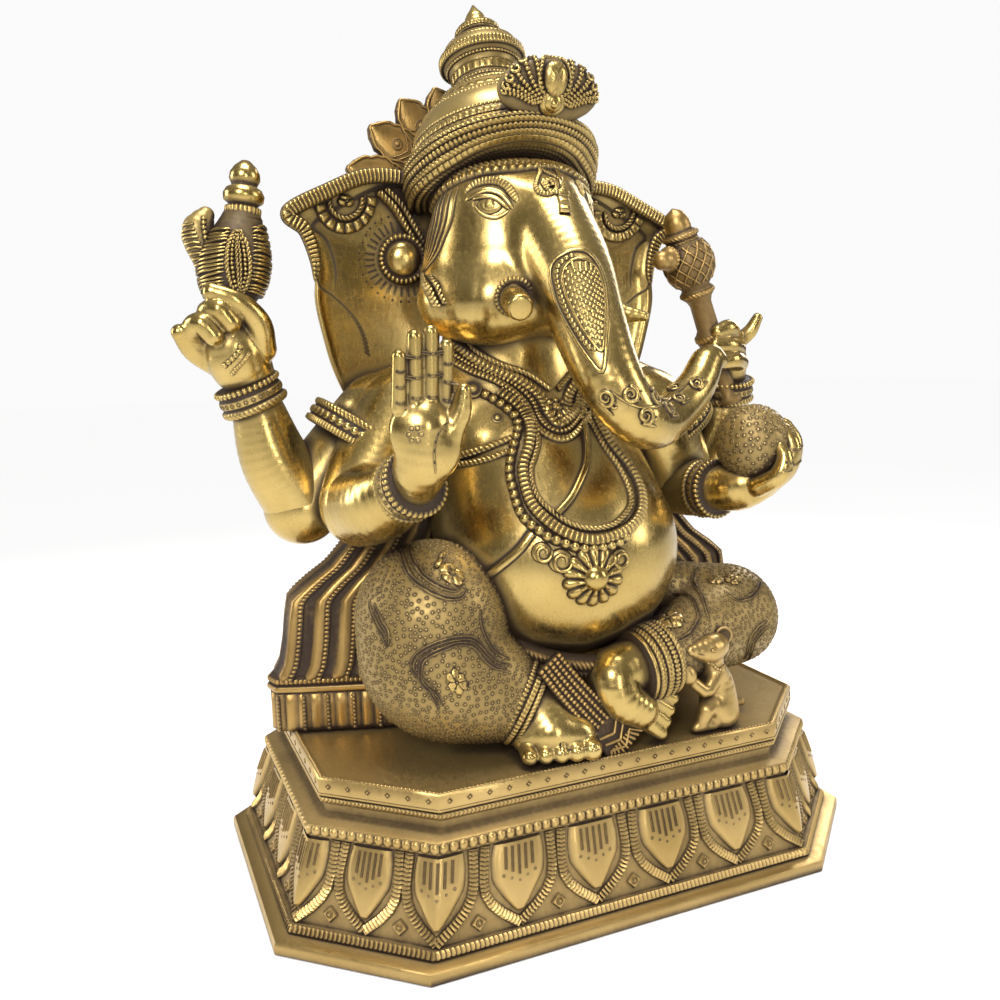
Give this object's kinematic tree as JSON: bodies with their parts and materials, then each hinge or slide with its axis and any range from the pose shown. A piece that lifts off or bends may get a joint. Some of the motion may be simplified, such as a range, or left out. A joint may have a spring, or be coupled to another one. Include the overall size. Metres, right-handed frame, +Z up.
{
  "type": "ganesha idol",
  "caption": "Seated four-armed elephant-headed figure in cast brass on a stepped octagonal lotus-petal pedestal, with a small mouse.",
  "frame": {"origin": "centre of the pedestal's foot, on the surface it stands on", "axes": "+Z up, the figure looks along -Y, and its right side is towards -X"},
  "size_m": [0.345, 0.238, 0.4572],
  "materials": {
    "figure_brass": "polished antique",
    "pedestal_brass": "satin antique",
    "dark_brass": "dark antique",
    "bolt_steel": "plain"
  },
  "bodies": {
    "root": {"axe": "dark_brass", "back_robe": "dark_brass", "belly": "figure_brass", "belt": "dark_brass", "chest": "figure_brass", "choker": "figure_brass", "conch": "figure_brass", "crown_band": "figure_brass", "crown_crest": "figure_brass", "crown_dome": "figure_brass", "crown_finial": "figure_brass", "crown_ring": "figure_brass", "deck": "pedestal_brass", "feather_fan": "dark_brass", "flower_pendant": "figure_brass", "front_left_bracelet": "figure_brass", "front_left_forearm": "figure_brass", "front_left_hand": "figure_brass", "front_left_upper_arm": "figure_brass", "front_right_bracelet": "figure_brass", "front_right_forearm": "figure_brass", "front_right_hand": "figure_brass", "front_right_upper_arm": "figure_brass", "head": "figure_brass", "hips": "figure_brass", "hold_down_bolts": "bolt_steel", "left_anklet": "figure_brass", "left_armlet": "figure_brass", "left_ear": "figure_brass", "left_earring": "figure_brass", "left_foot": "figure_brass", "left_shin": "figure_brass", "left_thigh": "figure_brass", "left_tusk": "figure_brass", "long_necklace": "figure_brass", "mouse": "pedestal_brass", "pedestal": "pedestal_brass", "pedestal_flange": "pedestal_brass", "rear_left_bracelet": "figure_brass", "rear_left_forearm": "figure_brass", "rear_left_hand": "figure_brass", "rear_left_upper_arm": "figure_brass", "rear_right_bracelet": "figure_brass", "rear_right_forearm": "figure_brass", "rear_right_hand": "figure_brass", "rear_right_upper_arm": "figure_brass", "right_anklet": "figure_brass", "right_armlet": "figure_brass", "right_ear": "figure_brass", "right_earring": "figure_brass", "right_foot": "figure_brass", "right_shin": "figure_brass", "right_thigh": "figure_brass", "right_tusk": "figure_brass", "robe_hem": "dark_brass", "sacred_thread": "figure_brass", "sash": "dark_brass", "sweet": "figure_brass", "trunk": "figure_brass"}
  },
  "joints": []
}
